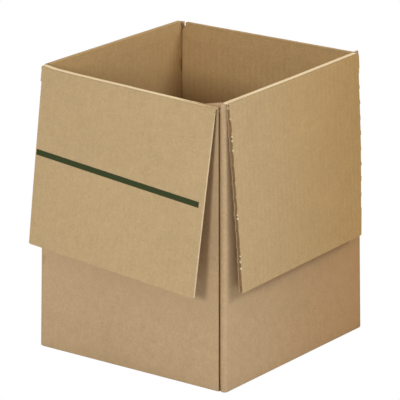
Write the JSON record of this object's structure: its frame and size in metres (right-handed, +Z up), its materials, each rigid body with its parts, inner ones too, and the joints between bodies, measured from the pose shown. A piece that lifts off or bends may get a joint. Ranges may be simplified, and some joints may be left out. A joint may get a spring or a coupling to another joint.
{
  "type": "open cardboard box",
  "caption": "Nearly square corrugated cardboard box standing open, with long top flaps folded outwards on creased hinges, a glued upright corner and a closed floor.",
  "frame": {"origin": "on the floor's underside, below the middle of the whole outline with the flaps hanging open", "axes": "+Z up, +X towards the right wall, -Y towards the front wall that has the glued corner at its right end"},
  "size_m": [0.3076, 0.3418, 0.3507],
  "materials": {
    "outer_liner": "plain brown kraft liner, smooth and matt",
    "inner_liner": "plain brown kraft liner, matt, with the flutes showing through as faint lines"
  },
  "bodies": {
    "box": {"box_body": "outer_liner"},
    "front_flap": {"front_flap": "inner_liner"},
    "right_flap": {"right_flap": "inner_liner"},
    "back_flap": {"back_flap": "inner_liner"},
    "left_flap": {"left_flap": "inner_liner"}
  },
  "joints": [
    {"name": "front_flap_fold", "type": "hinge", "parent": "box", "child": "front_flap", "pos_m": [0, -0.12694, 0.3456], "axis": [-1, 0, 0], "range_deg": [0, 268.1]},
    {"name": "right_flap_fold", "type": "hinge", "parent": "box", "child": "right_flap", "pos_m": [0.1345, 0.01245, 0.351], "axis": [0, -1, 0], "range_deg": [0, 266.5]},
    {"name": "back_flap_fold", "type": "hinge", "parent": "box", "child": "back_flap", "pos_m": [0, 0.15184, 0.3456], "axis": [1, 0, 0], "range_deg": [0, 266.5]},
    {"name": "left_flap_fold", "type": "hinge", "parent": "box", "child": "left_flap", "pos_m": [-0.1345, 0.01245, 0.351], "axis": [0, 1, 0], "range_deg": [0, 256.5]}
  ]
}
